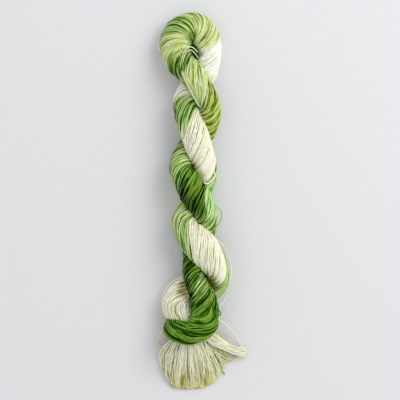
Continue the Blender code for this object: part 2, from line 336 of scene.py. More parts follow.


# %% [markdown]
# ## Lay the threads
# A wound skein is never even: some threads stray among their neighbours, and a few hang slack.
# Three layers are enough, the skin and two that show through its gaps.

# %% The layers
# darker is the power of painted shade on a layer's colour, for the layers under the skin.
Layer = namedtuple("Layer", "name threads depth sides darker")
LAYERS = [Layer(*row) for row in (
    ("skin",       58, 0.00, 5, 1.00),
    ("under_skin", 52, 0.24, 3, 2.00),
    ("third",      32, 0.56, 3, 3.00),
)]
layer_threads = [layer.threads for layer in LAYERS]
layer_depth = np.repeat([layer.depth for layer in LAYERS], layer_threads)[:, None]
darker = np.repeat([layer.darker for layer in LAYERS], layer_threads)[:, None]
print(sum(layer_threads), "threads in", len(LAYERS), "layers")

# %% Where the threads circle inside their run
# Above zero they lean further on the face, and below it they lean less.
SWIRLS = {
    "a_front_5": 0.6, "a_left_4": 1.0, "a_right_3": 1.1, "a_front_3": 1.2, "a_left_2": 0.4,
    "a_right_1": 0.6, "a_front_1": -1.2, "b_front_2": -0.6, "b_left_3": 0.1, "b_front_4": 0.5,
    "b_right_4": 0.7,
}
BAND_SWIRLS = [0.6] + [0.0] * (len(BAND) - 2) + [0.4]
SWIRL_LENGTH = 30.0  # the path that one full circle takes
rope_swirls = [SWIRLS.get(row.name, 0.0) for row in ROPE]
swirl = np.interp(station, np.arange(len(stations)),
                  rope_swirls[::-1] + BAND_SWIRLS + rope_swirls)
circled = np.cumsum(swirl * np.gradient(travel)) / SWIRL_LENGTH

# %% Each thread's place round the run
ASTRAY = 0.22  # the share of threads that roam among their neighbours
rng = np.random.default_rng(SEED + 3)
places, uneven_depths = [], []
for layer in LAYERS:
    count = layer.threads
    start = np.arange(count) / count + rng.uniform(0, 1)
    start = start + rng.uniform(-0.3, 0.3, count) / count
    astray = rng.uniform(size=(count, 1)) < ASTRAY
    roam = np.where(astray, 2.6, 0.6) / count
    places.append(start[:, None] + roam * waves(rng, count, travel, 38)
                  + 0.55 / count * waves(rng, count, travel, 9))
    uneven_depths.append(-0.10 * astray + 0.12 * waves(rng, count, travel, 6))
places = np.vstack(places) - circled
lumps = shared_waves(rng, places, travel, 15, 0.11)
furrows = np.clip(shared_waves(rng, places, travel, 20, 1.0, count=56) - 0.75, 0, 1)

# %% Each thread's colours and its depth
# Each thread smears the table's colours by its own amount. The white and cream threads lie
# smoother than the green ones, and threads alone in the band lie smoother still.
total = len(places)
smear = (station[None] + 0.09 * rng.standard_normal((total, 1))
         + 0.07 * waves(rng, total, travel, 14))
table_colour = colour_at(smear)
green = greenness(table_colour)
rough = (np.vstack(uneven_depths) + lumps + 0.04 * furrows) * (0.45 + 0.55 * green)
slack = np.clip(waves(rng, total, travel, 26, 3) - 1.2, 0, 1)
depths = layer_depth + rough * (1 - 0.35 * alone) + 0.10 - (0.2 + 0.4 * green) * slack
print(f"depths from {depths.min():.1f} to {depths.max():.1f} mm under the outline")

# %% From a place and a depth to a line of points
def laid(places, depths):
    """Where each thread runs, from its place round the run and its depth under its outline."""
    moon = moon_at(places)
    disc = np.stack([np.cos(2 * np.pi * places), np.sin(2 * np.pi * places)], axis=-1)
    share = alone[None, :, None]
    shape = (1 - share) * moon + share * disc
    middle = (1 - share) * MOON_CENTRE
    radius = np.stack([half_width, half_height], axis=-1)[None] - THREAD / 2
    inward = unit((shape - middle) * radius)
    cos, sin = np.cos(angle)[None], np.sin(angle)[None]
    out = (shape[..., 0] * cos - shape[..., 1] * sin) * radius[..., 0]
    out -= depths * (inward[..., 0] * cos - inward[..., 1] * sin)
    rise = (shape[..., 0] * sin + shape[..., 1] * cos) * radius[..., 1]
    rise -= depths * (inward[..., 0] * sin + inward[..., 1] * cos)
    out = np.where(bend > 0, np.minimum(out, room), np.maximum(out, -room))
    points = path[None] + out[..., None] * across[None] + rise[..., None] * up[None]
    floor = THREAD / 2 - AXIS_HEIGHT
    soft = 0.12  # a thread eases down to the table over about this height
    points[..., 2] = floor + np.logaddexp(0, (points[..., 2] - floor) / soft) * soft
    return points


threads = laid(places, depths)
print(f"{len(threads)} threads, {threads.shape[1]} points each")

# %% [markdown]
# ## Spots, depth of dye and painted shade
# Spots of other colours belong to places in the finished hank, so they are laid over the table's
# colours there, and each thread gives a spot its own ragged end. The moss spots by the fold of the
# head, the olive one at the top of the puff and the dark moss one at the left edge of the lowest
# front crossing of ply a are painted shade.

# %% The spots
# Each is on the side that faces up, near the row named: x and y of its middle, half its length and
# width, and the lean of its length from the x axis.
Spot = namedtuple("Spot", "dye row x y half_length half_width lean strength")
SPOTS = [Spot(*row) for row in (
    # painted shade by the fold of the head
    ("moss",        "lobe_top",   -3.0,  47.4, 3.4, 1.5,  82, 0.90),
    ("moss",        "lobe_right", -1.6,  44.0, 2.6, 1.4, -30, 0.70),
    ("olive",       "b_right_2",  -1.5,   8.9, 3.6, 1.4, -56, 0.60),
    ("dark_moss",   "a_front_3",  -4.3,  -0.4, 6.0, 2.7, -50, 0.98),
    ("dark_moss",   "a_front_3",  -6.0,   4.4, 2.2, 1.3, -80, 0.60),
    ("olive",       "b_right_4",   3.4, -24.9, 3.9, 1.9, -58, 0.80),
    ("dark_olive",  "b_right_4",   2.9, -25.2, 3.8, 1.4, -58, 0.92),
    # painted shade at the top of the puff
    ("olive",       "b_puff_top", -5.6, -26.6, 2.7, 1.9,  75, 0.90),
    ("light_green", "a_front_5",   0.0, -25.4, 1.9, 3.4, -12, 0.65),
    # painted shade along the left edge of the lowest front crossing of ply a
    ("dark_moss",   "a_front_5",  -3.9, -27.6, 6.0, 1.6, -75, 0.97),
)]


def spotted(rng, colour, points):
    """The spots laid over the colour of each thread."""
    count = len(points)
    faces_up = np.clip((points[..., 2] - path[None, :, 2]) / 1.2 + 0.8, 0, 1)  # 0 underneath
    row = np.where(station < TIP, len(ROPE) - 1 - station, station - len(ROPE) - len(BAND))
    for spot in SPOTS:
        near = np.exp(-(((row - ROW[spot.row]) / 1.3) ** 4))
        lean = np.radians(spot.lean)
        dx = points[..., 0] - spot.x + rng.normal(0, 0.25, (count, 1))
        dy = points[..., 1] - spot.y + rng.normal(0, 0.55, (count, 1))
        length = (dx * np.cos(lean) + dy * np.sin(lean)) / spot.half_length
        width = (dy * np.cos(lean) - dx * np.sin(lean)) / spot.half_width
        cover = np.clip(1.7 * (1.15 - np.hypot(length, width)), 0, 1)
        cover = (cover * cover * (3 - 2 * cover) * spot.strength * faces_up * near)[..., None]
        colour = colour * (1 - cover) + dye_of([spot.dye])[0] * cover
    return colour


# %% [markdown]
# Light from between the threads has passed through dye more than once, and lies in shade. So each
# colour is raised to a power, its depth of dye, which paints that shade into the colour: greens go
# dark between the threads, and cream only warms. Shadows alone would make the gaps grey.

# %% How deep the dye and its painted shade look
# DEEPER tints the painted shade; LIGHTEST and DARKEST bound its power.
DEEPER = np.array((1.0, 0.98, 1.02))  # a little less blue comes back, so pale gaps turn straw
LIGHTEST, DARKEST = 0.62, 4.2  # the depths of dye that are allowed
bright_green = green * table_colour[..., 1]  # most in the light greens, 0 in cream


def uneven_dye_and_groove_shade(rng, count):
    """How much more dye each thread took up than the table says, at each point, with painted shade.
    """
    own = np.maximum(rng.standard_normal((count, 1)), -0.8)
    # lumps and furrows are painted shade, where a thread sinks into a groove
    more = (1.3 * lumps + 0.5 * furrows) * (1 - 0.6 * alone) + (0.75 + 0.25 * green) * own
    more += 0.50 * waves(rng, count, travel, 4)
    missed = np.where(rng.uniform(size=(count, 1)) < 0.12, 0.35, 0.0)
    more -= missed + 0.15 * alone + 0.04 * green + 0.18 * bright_green
    # 1 in the band, whose threads lie open to the light and take less painted shade; 0 outside it.
    middle = len(ROPE) + 0.5 * (len(BAND) - 1)
    in_band = np.clip(0.5 * (len(BAND) + 1) - np.abs(station - middle), 0, 1)
    more = more * (1 - 0.3 * in_band) - 0.12 * in_band
    return more * (1 - 0.38 * alone) * (0.62 + 0.48 * green) * (1 + 0.7 * bright_green)


def dyed_and_shaded(rng, points):
    """The colour of each thread at each point, with painted shade between the threads."""
    colour = spotted(rng, table_colour, points)
    # Painted shade on the layers under the skin, most in the light greens.
    under_others = (darker - 1) * (0.45 + 0.55 * green) * (1 + 1.3 * bright_green)
    dye_and_shade_power = np.clip(1 + under_others + uneven_dye_and_groove_shade(rng, len(points)), LIGHTEST, DARKEST)
    deep = np.clip(colour, 0.004, 0.93) ** (dye_and_shade_power[..., None] * DEEPER)
    # Inside a green stretch, threads under the skin turn towards moss: painted shade in the gaps.
    all_green = np.minimum(greenness(colour), greenness(colour_at(station)))
    inside = ((0.5 + 0.4 * bright_green) * np.clip(darker - 1, 0, 1) * all_green)[..., None]
    return deep * (1 - inside) + dye_of(["moss"])[0] ** 1.5 * inside


colours = dyed_and_shaded(rng, threads)
print("the threads' mean colour, linear:", colours.mean(axis=(0, 1)).round(2))

# %% [markdown]
# ## From a line to a thread
# Each thread starts as a line of points, and a Geometry Nodes tree sweeps a small circle along it.
# A curve with a bevel could do the same, but the tree has named inputs for the thickness and the
# sides, and makes all the threads of a piece at once.

# %% The thread tree
def add(tree, kind, inputs=(), links=(), **settings):
    """Adds a node. A link comes from a socket, or from a node, which means its first output."""
    node = tree.nodes.new(kind)
    for key, value in settings.items():
        setattr(node, key, value)
    for key, value in dict(inputs).items():
        node.inputs[key].default_value = value
    for key, source in dict(links).items():
        socket = source.outputs[0] if isinstance(source, bpy.types.Node) else source
        tree.links.new(socket, node.inputs[key])
    return node


def thread_tree():
    """Sweeps a ring of the thread's thickness along each line of points."""
    tree = bpy.data.node_groups.new("thread_along_line", "GeometryNodeTree")
    face = tree.interface
    kinds = {"Geometry": "Geometry", "Thickness": "Float", "Sides": "Int", "Finish": "Material"}
    for name, kind in kinds.items():
        face.new_socket(name, in_out="INPUT", socket_type="NodeSocket" + kind)
    face.new_socket("Geometry", in_out="OUTPUT", socket_type="NodeSocketGeometry")
    given = add(tree, "NodeGroupInput")
    line = add(tree, "GeometryNodeMeshToCurve", links={"Mesh": given})
    half = add(tree, "ShaderNodeMath", {1: 0.5}, {0: given.outputs["Thickness"]},
               operation="MULTIPLY")
    ring = add(tree, "GeometryNodeCurvePrimitiveCircle",
               links={"Resolution": given.outputs["Sides"], "Radius": half})
    tube = add(tree, "GeometryNodeCurveToMesh", {"Fill Caps": True},
               {"Curve": line, "Profile Curve": ring})
    soft = add(tree, "GeometryNodeSetShadeSmooth", links={"Geometry": tube})
    real = add(tree, "GeometryNodeRealizeInstances", links={"Geometry": soft})
    finish = add(tree, "GeometryNodeSetMaterial",
                 links={"Geometry": real, "Material": given.outputs["Finish"]})
    add(tree, "NodeGroupOutput", links={"Geometry": finish})
    return tree


THREAD_TREE = thread_tree()
print("thread tree:", len(THREAD_TREE.nodes), "nodes")

# %% [markdown]
# ## Cotton floss
# Mercerised cotton is treated until it shines. Its two fine plies give faint slanting lines, and
# its fibres a soft sheen. The twist could be modelled, but it only just shows, so a wave over the
# thread's own map paints shade into its grooves and drives a bump. Noise makes the dye uneven,
# and the colour comes from the line's own attribute.

# %% The floss material
TWIST = 1.3  # mm along the thread for one turn of its two plies
GROOVE_DEPTH = 0.04 * MM


def floss_material(name):
    """Cotton with a soft sheen in the dye's own colour, so that it shines without looking wet."""
    material = bpy.data.materials.new(name)
    material.use_nodes = True
    tree = material.node_tree
    tree.nodes.clear()
    dye = add(tree, "ShaderNodeAttribute", attribute_name="dye")
    lay = add(tree, "ShaderNodeUVMap", uv_map="lay")
    parts = add(tree, "ShaderNodeSeparateXYZ", links={0: lay})
    turns = add(tree, "ShaderNodeMath", {1: 1 / TWIST}, {0: parts}, operation="MULTIPLY")
    slant = add(tree, "ShaderNodeMath", links={0: turns, 1: parts.outputs["Y"]}, operation="ADD")
    fine = add(tree, "ShaderNodeMath", {1: 4 * np.pi}, {0: slant}, operation="MULTIPLY")
    groove = add(tree, "ShaderNodeMath", links={0: fine}, operation="SINE")
    place = add(tree, "ShaderNodeTexCoord")
    mottle = add(tree, "ShaderNodeTexNoise", {"Scale": 900.0, "Detail": 2.0},
                 {"Vector": place.outputs["Object"]})
    # light is painted shade: it darkens the thread's colour in the grooves of its twist
    light = add(tree, "ShaderNodeMapRange",
                {"From Min": -1.0, "From Max": 1.0, "To Min": 0.90, "To Max": 1.04},
                {"Value": groove})
    patch = add(tree, "ShaderNodeMapRange",
                {"From Min": 0.3, "From Max": 0.7, "To Min": 0.93, "To Max": 1.05},
                {"Value": mottle})
    both = add(tree, "ShaderNodeMath", links={0: light, 1: patch}, operation="MULTIPLY")
    toned = add(tree, "ShaderNodeVectorMath", links={0: dye, 1: both}, operation="MULTIPLY")
    bump = add(tree, "ShaderNodeBump", {"Strength": 0.35, "Distance": GROOVE_DEPTH},
               {"Height": groove})
    shader = add(
        tree, "ShaderNodeBsdfPrincipled",
        {"Roughness": 0.45, "Specular IOR Level": 0.10, "IOR": 1.53, "Sheen Weight": 0.05,
         "Sheen Roughness": 0.4},
        {"Base Color": toned, "Sheen Tint": toned, "Specular Tint": toned, "Normal": bump},
    )
    add(tree, "ShaderNodeOutputMaterial", links={"Surface": shader})
    return material


FLOSS = floss_material("mercerised_cotton_floss")

# %% [markdown]
# A thread's mesh needs its dye at each ring of points, a map for the finish, in real millimetres
# along and one turn round, and a map without overlaps to bake into. For that last one long threads
# are cut into strips, because a single strip would be too thin to hold their colour.

# %% Colour and maps
def placed(name, data):
    """A new object in the scene, at the origin."""
    obj = bpy.data.objects.new(name, data)
    bpy.context.scene.collection.objects.link(obj)
    return obj


def paint(mesh, colours):
    """Gives each vertex its colour, where the finish reads it."""
    with_alpha = np.column_stack([colours, np.ones(len(colours))])
    mesh.attributes.new("dye", "FLOAT_COLOR", "POINT").data.foreach_set("color", with_alpha.ravel())


def read(items, name):
    """A whole number from each item, such as a face's count of corners."""
    numbers = np.empty(len(items), np.int32)
    items.foreach_get(name, numbers)
    return numbers


def add_maps(mesh, lines, sides, strip_points):
    """Unrolls each stretch of thread into a strip of its own, and maps its length and turn."""
    counts = [len(line) for line in lines]
    thread_of = np.repeat(np.arange(len(counts)), counts)
    in_thread = np.concatenate([np.arange(n) for n in counts])
    length = np.concatenate([length_along(line) for line in lines])
    totals, corner_vertex = read(mesh.polygons, "loop_total"), read(mesh.loops, "vertex_index")
    face = np.repeat(np.arange(len(totals)), totals)
    corner_ring, spoke = corner_vertex // sides, corner_vertex % sides
    first_ring = np.full(len(totals), len(length))
    np.minimum.at(first_ring, face, corner_ring)
    low, high = np.full(len(totals), sides), np.full(len(totals), -1)
    np.minimum.at(low, face, spoke)
    np.maximum.at(high, face, spoke)
    is_side = totals == 4
    # The last face round a ring joins its last spoke to the first, which is a full turn there.
    wraps = (is_side & (low == 0) & (high == sides - 1))[face]
    turn = np.where(wraps & (spoke == 0), sides, spoke) / sides
    stretch_in_thread = in_thread[first_ring] // strip_points
    stretches = np.array([-(-n // strip_points) for n in counts])
    strip = (np.cumsum(stretches) - stretches)[thread_of[first_ring]] + stretch_in_thread
    along_strip = (in_thread[corner_ring] - stretch_in_thread[face] * strip_points) / strip_points
    caps = ~is_side[face]
    u = 0.004 + 0.985 * np.clip(along_strip, 0, 1)
    u += np.where(caps, 0.004 * np.cos(2 * np.pi * turn), 0)
    rolled = np.where(caps, 0.5 + 0.3 * np.sin(2 * np.pi * turn), turn)
    v = (strip[face] + 0.12 + 0.76 * rolled) / stretches.sum()
    baked = mesh.uv_layers.new(name="OFBake")
    baked.data.foreach_set("uv", np.column_stack([u, v]).ravel())
    lay = mesh.uv_layers.new(name="lay")
    lay.data.foreach_set("uv", np.column_stack([length[corner_ring], turn]).ravel())


# %% Make a piece from a set of threads
def measured(piece):
    """Says how many triangles a piece has."""
    print(piece.name, sum(len(face.vertices) - 2 for face in piece.data.polygons), "triangles")
    return piece


def thread_piece(name, lines, line_colours, sides=5, strip_points=100, thickness=THREAD):
    """One mesh of all the lines given, each with one colour or a colour for each point."""
    points = to_metres(np.vstack(lines))
    last_points = np.cumsum([len(line) for line in lines]) - 1
    edge_starts = np.delete(np.arange(len(points)), last_points)
    edges = np.column_stack([edge_starts, edge_starts + 1])
    mesh = bpy.data.meshes.new(name)
    mesh.from_pydata(points, edges, [])
    obj = placed(name, mesh)
    modifier = obj.modifiers.new("Threads", "NODES")
    modifier.node_group = THREAD_TREE
    given = {"Thickness": thickness * MM, "Sides": sides, "Finish": FLOSS}
    for item in THREAD_TREE.interface.items_tree:
        if item.in_out == "INPUT" and item.name in given:
            modifier[item.identifier] = given[item.name]
    graph = bpy.context.evaluated_depsgraph_get()
    solid = bpy.data.meshes.new_from_object(obj.evaluated_get(graph))
    obj.modifiers.remove(modifier)
    obj.data = solid
    solid.name = name
    assert len(solid.vertices) == sides * len(points), f"{name}: a thread has lost some rings"
    by_point = [np.broadcast_to(dye, (len(line), 3)) for dye, line in zip(line_colours, lines)]
    paint(solid, np.repeat(np.vstack(by_point), sides, axis=0))
    add_maps(solid, lines, sides, strip_points)
    return measured(obj)


# %% [markdown]
# The 142 threads go into eight pieces of up to 20, so that no piece is too heavy to handle.

# %% The wound threads
BATCH = 20
body_pieces = []
for layer, before in zip(LAYERS, np.cumsum([0] + layer_threads)):
    for start in range(0, layer.threads, BATCH):
        chosen = slice(before + start, before + min(start + BATCH, layer.threads))
        name = f"{layer.name}_threads_{start // BATCH + 1}"
        body_pieces.append(
            thread_piece(name, threads[chosen], colours[chosen], sides=layer.sides))

# %% [markdown]
# ## The heart of the ply
# Under its outer layers a hank is packed with more thread, which never shows as single threads. A
# plain dark tube in each ply stands for it, its dye darkened as painted shade, so that a gap
# between threads looks deep.

# %% A plain mesh under the threads
def smooth_piece(name, points, faces, colours):
    """A smooth mesh with a colour at each point and the threads' finish."""
    mesh = bpy.data.meshes.new(name)
    mesh.from_pydata(to_metres(points), [], faces)
    mesh.polygons.foreach_set("use_smooth", [True] * len(mesh.polygons))
    paint(mesh, colours)
    mesh.materials.append(FLOSS)
    return measured(placed(name, mesh))


# %% The threads inside each ply
# The tube is four fifths as wide as the ply and goes from the neck to the band.
CORE_SIDES = 14
at = np.arange(np.searchsorted(station, len(ROPE) - 1.1))[::2]
turn = np.linspace(0, 2 * np.pi, CORE_SIDES, endpoint=False) + angle[at][:, None]
out = 0.80 * half_width[at][:, None] * np.cos(turn)
limit = 0.9 * room[at][:, None]
out = np.where(bend[at][:, None] > 0, np.minimum(out, limit), np.maximum(out, -limit))
rise = 0.79 * half_height[at][:, None] * np.sin(turn)
rings = path[at][:, None] + out[..., None] * across[at][:, None]
rings = rings + rise[..., None] * up[at][:, None]
index = np.arange(len(at) * CORE_SIDES).reshape(len(at), CORE_SIDES)
beside = np.roll(index, -1, 1)
faces = np.stack([index[:-1], beside[:-1], beside[1:], index[1:]], -1).reshape(-1, 4).tolist()
faces += [index[0][::-1].tolist(), index[-1].tolist()]
tone = colour_at(station[at])
# Raised to a power, the dye turns into painted shade, darkest in the greens.
tone = np.repeat(tone ** (1.3 + 1.9 * greenness(tone))[:, None], CORE_SIDES, axis=0)
core = smooth_piece("inner_threads", rings.reshape(-1, 3), faces, tone)

# %% [markdown]
# Where the two plies cross, a hard twist leaves a deep fold between them, in shade. A few thick
# dark threads wind about its middle, dark moss as painted shade. A tube would do too, but it would
# look smooth where it shows.

# %% The heart of the rope
HEART = [(-1.2, 37.0), (-1.6, 31.0), (-1.4, 22.0), (-1.4, 17.5), (-1.6, 8.0), (-1.8, 2.0),
         (-1.4, -6.0), (-0.6, -14.0), (0.6, -22.0), (0.3, -28.5)]  # x and y of the rope's middle
HEART_THREADS, HEART_TURNS, HEART_HEIGHT = 16, 3, 0.2
rng = np.random.default_rng(SEED + 5)
middle = spline([(x, y, HEART_HEIGHT) for x, y in HEART], 24)
run = np.linspace(0, 1, len(middle))
heart_lines, heart_colours = [], []
for i in range(HEART_THREADS):
    around = 2 * np.pi * (i / HEART_THREADS + HEART_TURNS * run)
    ring = np.column_stack([np.cos(around), 0 * run, 1.5 * np.sin(around)])
    heart_lines.append(evenly(middle + ring, 1.4))
    # dark moss all along, whatever the rope's dye: painted shade
    heart_colours.append(dye_of(["dark_moss"]) ** rng.uniform(0.9, 1.3))
heart = thread_piece("heart_threads", heart_lines, heart_colours, sides=4, thickness=0.6)

# %% [markdown]
# The round head is the middle of the loop, folded in two. The threads at its centre are squeezed
# together, and show as a dark patch of shade in the fold. Short arcs over a low dome stand for
# them, painted dark moss as painted shade.

# %% The fold of the head
FOLD_THREADS = 46
FOLD_MIDDLE, FOLD_SIZE = np.array((-2.3, 44.4, -1.6)), np.array((2.3, 3.6, 1.9))
rng = np.random.default_rng(SEED + 4)
lean = np.radians(np.linspace(-88, 88, 9))
fold_lines, fold_colours = [], []
for i in range(FOLD_THREADS):
    a = np.pi * (i + 0.5) / FOLD_THREADS
    arc = np.column_stack([np.cos(a) * np.cos(lean), np.sin(lean), np.sin(a) * np.cos(lean)])
    fold_lines.append(evenly(spline(FOLD_MIDDLE + FOLD_SIZE * arc, 4), 0.9))
    # Dark moss is painted shade; the last arcs, out in the light, are grass.
    dye = "grass" if i > 34 else "dark_moss"  # the last ones come out into the light
    fold_colours.append(dye_of([dye]) ** rng.uniform(0.9, 1.4))
fold = thread_piece("fold_threads", fold_lines, fold_colours, sides=4)

# %% [markdown]
# ## The looped end
# Below the neck the loop's other end opens as a fan. Each thread goes out, turns round in a small
# eye and comes back. One real thread would do all of that in turn, but its roots are hidden in the
# neck, so each loop is made by itself.

# %% The shape of the fan
# A share says where in the fan a loop lies, from -1 at the left to 1 at the right.
FAN_THREAD = 0.37
fan_edge = spline([  # where the tips of the loops end, from the left side round to the right
    (-12.4, -47.4), (-11.3, -52.6), (-8.7, -56.4), (-5.4, -57.0), (-2.2, -57.0),
    (1.0, -56.4), (3.8, -55.0), (5.2, -52.9), (7.2, -49.4), (7.6, -47.0),
], 30)


def fan_root(share):
    """Where the threads at this share of the fan leave the neck."""
    return np.array((-2.9 + 5.4 * share, -41.4 + 3.2 * max(share, 0) ** 1.5))


def fan_tip(share):
    place = (share + 1) / 2 * (len(fan_edge) - 1)
    return np.array([np.interp(place, np.arange(len(fan_edge)), c) for c in fan_edge.T])


def fan_height(share, part):
    """The height of the fan's heap over the table, part of the way from the neck to the tips."""
    neck = 7.0 - 3.0 * share**2
    part = np.clip(part, 0, 1)
    return 0.5 + (neck - 0.5) * (1 - part) ** 1.1 + 1.7 * np.sin(np.pi * part) * (1 - share**2)


# %% One loop of the fan
def on_table(curve, thickness):
    """The curve, raised where it would go into the table."""
    curve[:, 2] = np.maximum(curve[:, 2], thickness / 2 - AXIS_HEIGHT)
    return curve


def fan_loop(rng, share, reach, level):
    """From the neck to the tip and back: eye opens the loop, and bow bends it sideways."""
    roots = [fan_root(share) + rng.normal(0, (0.6, 0.25)) for _ in range(2)]
    middle = (roots[0] + roots[1]) / 2
    tip = middle + (fan_tip(share) - middle) * reach
    heading = unit(tip - middle)
    sideways = np.array((-heading[1], heading[0]))
    open_side = np.clip((share - 0.3) / 0.3, 0, 1)
    eye = rng.uniform(0.15, 0.9) + 0.7 * open_side * rng.uniform()
    bow = 0.5 * share - 0.7 * np.exp(-(((share + 0.52) / 0.22) ** 2))
    bow = min(bow + rng.normal(0, 0.45 + 0.5 * open_side), 1.2 - 0.9 * open_side)
    if share < -0.57:  # the few wide arcs that lie open at the left
        bow, eye = -rng.uniform(0.4, 2.4), rng.uniform(0.3, 1.0)

    def rise(part):
        return FAN_THREAD / 2 + fan_height(share, part) * (0.35 + 0.65 * level) + 0.25 - AXIS_HEIGHT

    legs = []
    for leg, root in zip((-1, 1), roots):
        rows = [(*(root + (0, 2.0)), rise(0)), (*root, rise(0))]
        for part in (0.22, 0.5, 0.8):
            line = root * (1 - part) + tip * part
            swing = leg * eye * min(1, 1.3 * part)
            swing += (bow + rng.normal(0, 0.2)) * np.sin(np.pi * part)
            rows.append((*(line + sideways * swing), rise(part) + rng.normal(0, 0.12)))
        rows.append((*(tip - heading * eye * 0.6 + sideways * leg * eye * 0.85), rise(1)))
        legs.append(rows)
    route = legs[0] + [(*tip, rise(1))] + legs[1][::-1]
    return on_table(evenly(spline(route, 14), 0.5), FAN_THREAD)


# %% The fan's dye
def fan_colour(rng, curve):
    """Cream near the neck, straw and olive at some of the tips, and greener at the right."""
    down = np.clip((-43 - curve[:, 1]) / 13, 0, 1)
    right = np.clip((curve[:, 0] - 0.5) / 5, 0, 1)
    colour = np.tile(dye_of(["cream"]), (len(curve), 1))
    tip_dye = dye_of([rng.choice(["straw", "straw", "straw", "olive", "cream", "cream"])])
    tipped = np.clip((down - rng.uniform(0.35, 0.9)) / 0.25, 0, 1)[:, None]
    colour = colour * (1 - tipped) + tip_dye * tipped
    if rng.uniform() < 0.65:
        green = (0.85 * right * (1 - 0.6 * down))[:, None]
        green_dye = dye_of([rng.choice(["spring", "light_green", "leaf"])])
        colour = colour * (1 - green) + green_dye * green
    if rng.uniform() < 0.10:
        colour = 0.5 * colour + 0.5 * dye_of(["olive"])
    return np.clip(colour * (0.95 + 0.08 * rng.standard_normal()), 0.01, 0.92)


# %% All the loops of the fan
FAN_LOOPS = 205
# FAN_DEEPER tints the painted shade of the lower loops straw.
FAN_DEEPER = np.array((1.0, 0.98, 1.2))  # the fan's deeper threads turn straw
rng = np.random.default_rng(SEED + 1)
fan_lines, fan_colours = [], []
for i in range(FAN_LOOPS):
    share = -0.54 + 1.48 * (i + 0.5) / FAN_LOOPS + rng.normal(0, 0.04)
    if rng.uniform() < 0.05:  # a few lie further out at the left
        share = rng.uniform(-0.88, -0.58)
    elif share > 0.35 and rng.uniform() < 0.35:  # which leaves the right side more open
        share = rng.uniform(-0.5, 0.3)
    share = np.clip(share, -1, 1)
    level = 1 - rng.uniform() ** 1.6  # 1 on top of the heap, 0 at its bottom
    reach = rng.uniform(0.97, 1.02) - 0.03 * level
    reach -= (rng.uniform() < 0.15) * rng.uniform(0, 0.2)
    line = fan_loop(rng, share, reach, level)
    fan_lines.append(line)
    # The power grows towards the bottom of the heap: painted shade on the lower loops.
    fan_colours.append(fan_colour(rng, line) ** ((1.45 - 0.65 * level) * FAN_DEEPER))

# %% [markdown]
# Inside the fan the threads lie too deep to be told apart. One low heap stands for them, its cream
# darkened as painted shade, green at the right where the dye runs down from the rope, and the
# loops lie on it.

# %% The heap inside the fan
shares, parts = np.linspace(-0.52, 0.9, 25), np.linspace(-0.15, 0.93, 15)
points, tones = [], []
for part in parts:
    for share in shares:
        edge = min(1, 4 * (share + 0.6), 4 * (0.98 - share))
        place = fan_root(share) * (1 - part) + fan_tip(share) * part
        height = max(0.1, 0.92 * edge * fan_height(share, part) - 0.30)
        points.append((*place, height - AXIS_HEIGHT))
        greener = np.clip((share - 0.1) / 0.3, 0, 1) * np.clip(1.5 - 1.3 * part, 0, 1)
        # Cream raised to a power is painted shade under the loops.
        tones.append(dye_of(["cream"])[0] ** 1.5 * (1 - greener) + dye_of(["fern"])[0] * greener)
index = np.arange(len(points)).reshape(len(parts), len(shares))
faces = np.stack([index[:-1, :-1], index[:-1, 1:], index[1:, 1:], index[1:, :-1]], -1)
heap = smooth_piece("fan_heap", points, faces.reshape(-1, 4).tolist(), tones)
fan = thread_piece("fan_loops", fan_lines, fan_colours, strip_points=48, thickness=FAN_THREAD)

# %% [markdown]
# A small lock of the same loops has been pulled out to the right, and a few single threads stand
# off the rope, which shows that the hank is loose thread. Each is given by the points that it
# passes, because each has a place of its own.

# %% The pulled lock
LOOSE_THREAD = 0.35  # a thread with no others round it


def loose(name, routes, thickness):
    """Single threads through the points given, each with its dye at the start and the end."""
    lines, line_colours = [], []
    for points, start, end in routes:
        curve = on_table(evenly(spline(points, 16), 0.5), thickness)
        share = np.linspace(0, 1, len(curve))[:, None]
        lines.append(curve)
        line_colours.append(dye_of([start]) * (1 - share) + dye_of([end]) * share)
    return thread_piece(name, lines, line_colours, strip_points=48, thickness=thickness)


rng = np.random.default_rng(SEED + 2)
PULLED = 15
routes = []
for i in range(PULLED):
    spread = (i + 0.5) / PULLED - 0.5
    lift = rng.uniform(0, 1)
    dye = rng.choice(["cream", "cream", "cream", "straw", "white"])
    routes.append(([
        (-1.4 + 1.2 * spread, -38, 0.2 + 0.8 * lift),
        (0.9 + 1.0 * spread, -40.2 + 1.6 * spread, 0.5 + 0.8 * lift),
        (3.6 + 0.6 * spread, -41.9 + 3.2 * spread + rng.normal(0, 0.2), 0.9 * lift),
        (6.6, -43.7 + 2.9 * spread + rng.normal(0, 0.2), -1.8 + 1.0 * lift),
        (9.7, -45.5 + 2.4 * spread + rng.normal(0, 0.15), -3.7 + 1.1 * lift),
        (12.4 + rng.uniform(0, 1.4), -46.5 + 2.9 * spread + rng.normal(0, 0.2), -4.9 + 0.9 * lift),
    ], "cream", dye))
routes.append(([
    (3, -38, -1), (4.6, -39.6, -1.2), (6.2, -41.6, -2.6), (7.6, -43, -3.2),
    (9.4, -44.4, -3.6), (12.6, -44.8, -4.6)], "spring", "straw"))
for drop in (0.3, 1.1):
    routes.append(([
        (3.3, -43.6 - drop, -1.9), (5.4, -45.4 - drop, -2.6), (7.5, -46.8 - drop, -4),
        (9.6, -47.6 - 0.8 * drop, -5.2), (11.8 - drop, -47.2 - 0.4 * drop, -5.5)],
        "cream", "straw"))

